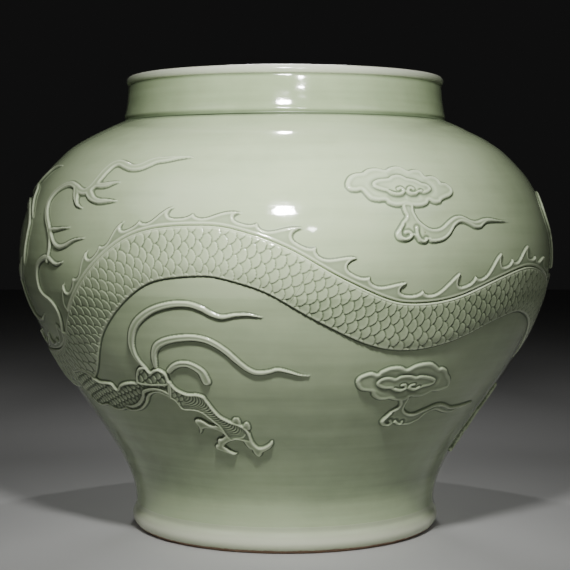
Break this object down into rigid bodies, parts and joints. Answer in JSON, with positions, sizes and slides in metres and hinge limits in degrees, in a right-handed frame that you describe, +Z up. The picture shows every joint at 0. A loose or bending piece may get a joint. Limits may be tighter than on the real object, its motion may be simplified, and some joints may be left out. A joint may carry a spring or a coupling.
{
  "type": "dragon jar",
  "caption": "Broad-shouldered pale green celadon jar with a narrow foot, short wide neck and rounded lip, wrapped by a raised scaled dragon among clouds.",
  "frame": {"origin": "middle of the foot ring, on the surface that the jar stands on", "axes": "+Z up along the axis of the throwing; -Y towards the side that shows the arch of the dragon's body and one raised claw; +X to that side's right"},
  "size_m": [0.5291, 0.527, 0.4422],
  "materials": {
    "wall_glaze": "glossy pale grey-green celadon glaze over light grey stoneware",
    "neck_glaze": "glossy celadon glaze, a little greener where it lies thicker",
    "lip_glaze": "glossy celadon glaze, paler where it has run thin over the rounded lip",
    "foot_glaze": "thin cream celadon glaze over a bare iron-brown clay toe",
    "dragon_glaze": "glossy celadon glaze, paler on the raised edges and greener in the cuts",
    "crest_glaze": "glossy celadon glaze, thin and pale on narrow raised rolls",
    "cloud_glaze": "glossy celadon glaze on low raised clouds"
  },
  "bodies": {
    "root": {"beard": "crest_glaze", "beard_tip": "crest_glaze", "cloud_beard": "cloud_glaze", "cloud_haunch": "cloud_glaze", "cloud_high": "cloud_glaze", "cloud_low": "cloud_glaze", "cloud_pearl": "cloud_glaze", "cloud_tail": "cloud_glaze", "crest_chest": "crest_glaze", "crest_haunch": "crest_glaze", "crest_loins": "crest_glaze", "crest_neck": "crest_glaze", "crest_tail": "crest_glaze", "crest_trunk": "crest_glaze", "dragon_chest": "dragon_glaze", "dragon_ear": "dragon_glaze", "dragon_eye": "crest_glaze", "dragon_face": "dragon_glaze", "dragon_haunch": "dragon_glaze", "dragon_jaw": "dragon_glaze", "dragon_loins": "dragon_glaze", "dragon_neck": "dragon_glaze", "dragon_tail": "dragon_glaze", "dragon_trunk": "dragon_glaze", "far_foreleg_lower": "dragon_glaze", "far_foreleg_upper": "dragon_glaze", "far_hindleg_lower": "dragon_glaze", "far_hindleg_upper": "dragon_glaze", "far_streamer_long": "crest_glaze", "far_streamer_short": "crest_glaze", "foot_ring": "foot_glaze", "haunch_flame": "crest_glaze", "hind_streamer": "crest_glaze", "horn_long": "crest_glaze", "horn_short": "crest_glaze", "lip_roll": "lip_glaze", "lower_bowl": "wall_glaze", "mane_low": "crest_glaze", "mane_middle": "crest_glaze", "mane_top": "crest_glaze", "near_foreleg_lower": "dragon_glaze", "near_foreleg_upper": "dragon_glaze", "near_hindleg_lower": "dragon_glaze", "near_hindleg_upper": "dragon_glaze", "neck_collar": "neck_glaze", "pearl": "cloud_glaze", "pearl_flame_1": "crest_glaze", "pearl_flame_2": "crest_glaze", "pearl_flame_3": "crest_glaze", "shoulder_curl": "crest_glaze", "shoulder_flame": "crest_glaze", "streamer_long": "crest_glaze", "streamer_short": "crest_glaze", "streamer_waved": "crest_glaze", "tail_flame": "crest_glaze", "upper_bowl": "wall_glaze", "whisker": "crest_glaze"}
  },
  "joints": []
}
